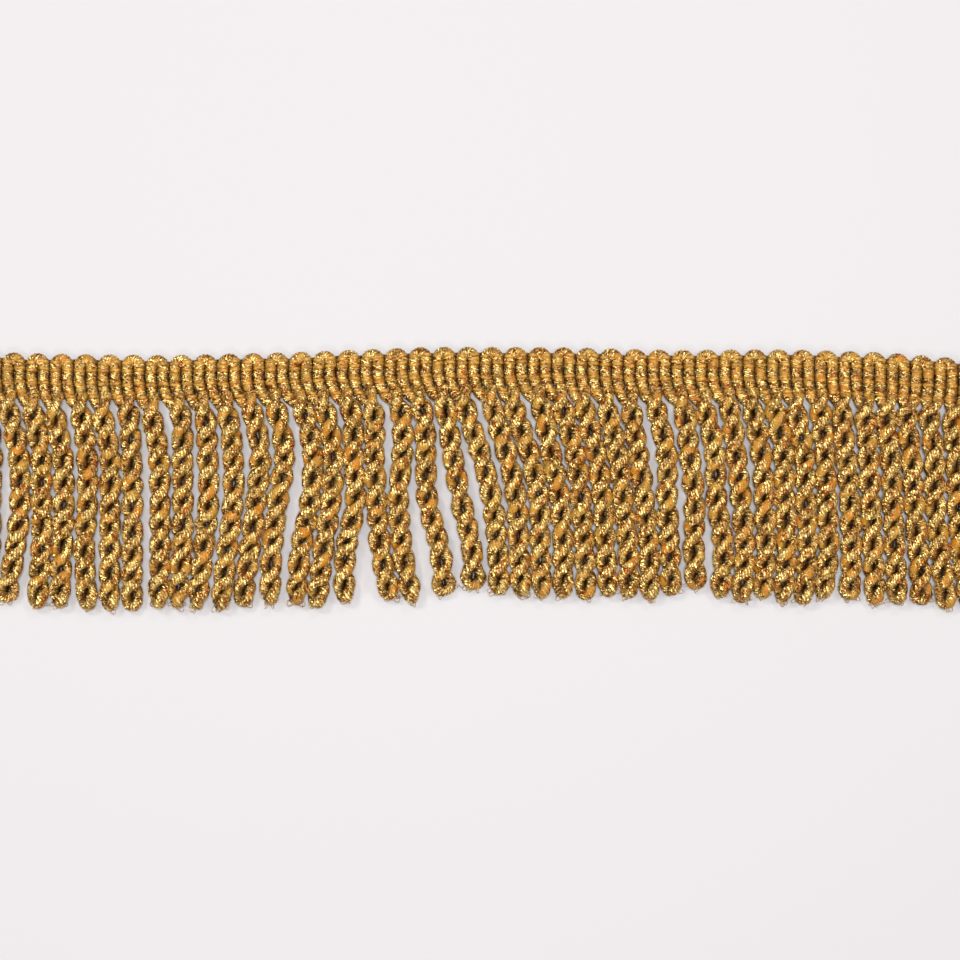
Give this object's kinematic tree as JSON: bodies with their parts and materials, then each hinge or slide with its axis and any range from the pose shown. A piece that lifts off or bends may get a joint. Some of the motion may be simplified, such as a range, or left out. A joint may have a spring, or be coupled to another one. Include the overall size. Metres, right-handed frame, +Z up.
{
  "type": "cord fringe trim",
  "caption": "Cut length of gold bullion fringe: a ribbed woven heading with a scalloped edge and a skirt of two-ply twisted cords with looped ends, lying flat.",
  "frame": {"origin": "middle of the trim's box, on the table that it lies on", "axes": "+X along the heading, +Y from the cord ends to the scalloped edge, +Z up off the table, out of the face"},
  "size_m": [0.258, 0.066, 0.0044],
  "materials": {
    "heading_gimp": "wound metallic gold thread over viscose, ribbed across and bound by warp yarn",
    "cord_gimp": "wound metallic gold thread over viscose, two plies twisted, glittering highlights and dark brown grooves"
  },
  "bodies": {
    "root": {"heading": "heading_gimp", "fringe": "cord_gimp"}
  },
  "joints": []
}
